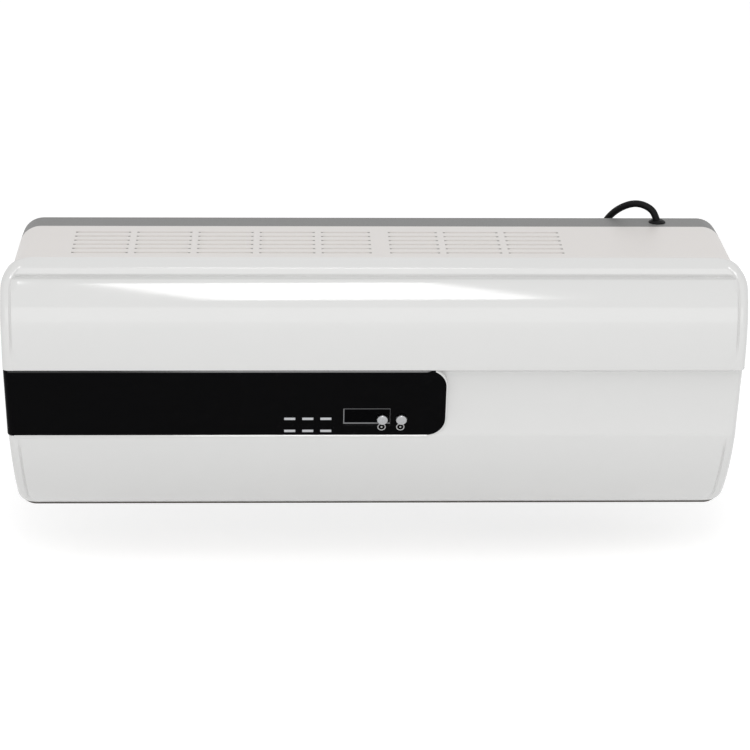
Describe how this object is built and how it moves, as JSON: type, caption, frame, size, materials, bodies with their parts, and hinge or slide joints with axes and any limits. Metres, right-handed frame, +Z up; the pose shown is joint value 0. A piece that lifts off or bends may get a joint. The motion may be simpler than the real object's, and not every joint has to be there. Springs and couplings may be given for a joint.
{
  "type": "electric wall heater",
  "caption": "Wall-hung electric fan heater: slotted top intake, glossy rounded front with a black control fascia, cross-flow fan, heating element, swinging outlet louver, and coiled mains cord.",
  "frame": {"origin": "midpoint between the two keyholes' entry holes, on the back face that lies against the wall", "axes": "+X to the right as seen from the room, +Y into the wall, so the front faces -Y, and +Z up"},
  "size_m": [0.59, 0.1693, 0.2439],
  "materials": {
    "white_gloss": "moulded, high gloss",
    "white_satin": "moulded, satin",
    "cover_grey": "moulded, fine grain",
    "black_gloss": "polished black",
    "smoked_lens": "smoked, polished",
    "light_bars": "frosted",
    "silver_cap": "silver plated",
    "board": "solder mask",
    "dark_parts": "moulded",
    "relay_blue": "moulded",
    "duct_grey": "moulded, heat resistant",
    "rotor_grey": "moulded, glass filled",
    "steel": "plain",
    "motor_steel": "zinc plated",
    "heater_metal": "bright fins",
    "insulator": "moulded, heat resistant",
    "guard_black": "black, matt",
    "bush_white": "plain",
    "bearing_rubber": "plain",
    "cord_black": "matt sheath",
    "pin_metal": "nickel plated"
  },
  "bodies": {
    "heater": {"rear_cover": "cover_grey", "main_casing": "white_satin", "front_panel": "white_gloss", "control_fascia": "black_gloss", "display_window": "smoked_lens", "indicator_lights": "light_bars", "control_board": "board", "display_module": "dark_parts", "push_switches": "dark_parts", "remote_receiver": "dark_parts", "duct_end_left": "duct_grey", "duct_end_right": "duct_grey", "scroll_guide": "duct_grey", "tongue_guide": "duct_grey", "fan_bearing": "bearing_rubber", "fan_motor": "motor_steel", "motor_bracket": "steel", "heating_element": "heater_metal", "element_frame": "insulator", "thermal_cutout": "dark_parts", "outlet_guard": "guard_black", "louver_bush": "bush_white", "louver_motor": "motor_steel", "power_board": "board", "relays": "relay_blue", "capacitor": "dark_parts", "terminal_block": "bush_white", "inner_cord": "cord_black", "cord_clamp": "bush_white", "cord_gland": "cord_black", "cover_screws": "steel", "supply_lead": "cord_black", "cord_coil": "cord_black", "plug_lead": "cord_black", "cord_tie": "dark_parts", "mains_plug": "cord_black", "plug_pins": "pin_metal"},
    "fan": {"fan_rotor": "rotor_grey", "fan_axle": "steel", "motor_shaft": "steel"},
    "louver": {"swing_louver": "white_satin", "louver_shaft": "steel"},
    "power_key": {"power_button": "silver_cap"},
    "timer_key": {"timer_button": "silver_cap"}
  },
  "joints": [
    {"name": "fan_spin", "type": "hinge", "parent": "heater", "child": "fan", "pos_m": [0, -0.056, -0.02], "axis": [1, 0, 0], "continuous": true},
    {"name": "louver_swing", "type": "hinge", "parent": "heater", "child": "louver", "pos_m": [0, -0.048, -0.163], "axis": [1, 0, 0], "range_deg": [0, 60]},
    {"name": "power_button_press", "type": "slide", "parent": "heater", "child": "power_key", "axis": [0, 0.9655, 0.2605], "range_m": [0, 0.0008], "stiffness_N_per_m": 800},
    {"name": "timer_button_press", "type": "slide", "parent": "heater", "child": "timer_key", "axis": [0, 0.9655, 0.2605], "range_m": [0, 0.0008], "stiffness_N_per_m": 800}
  ]
}
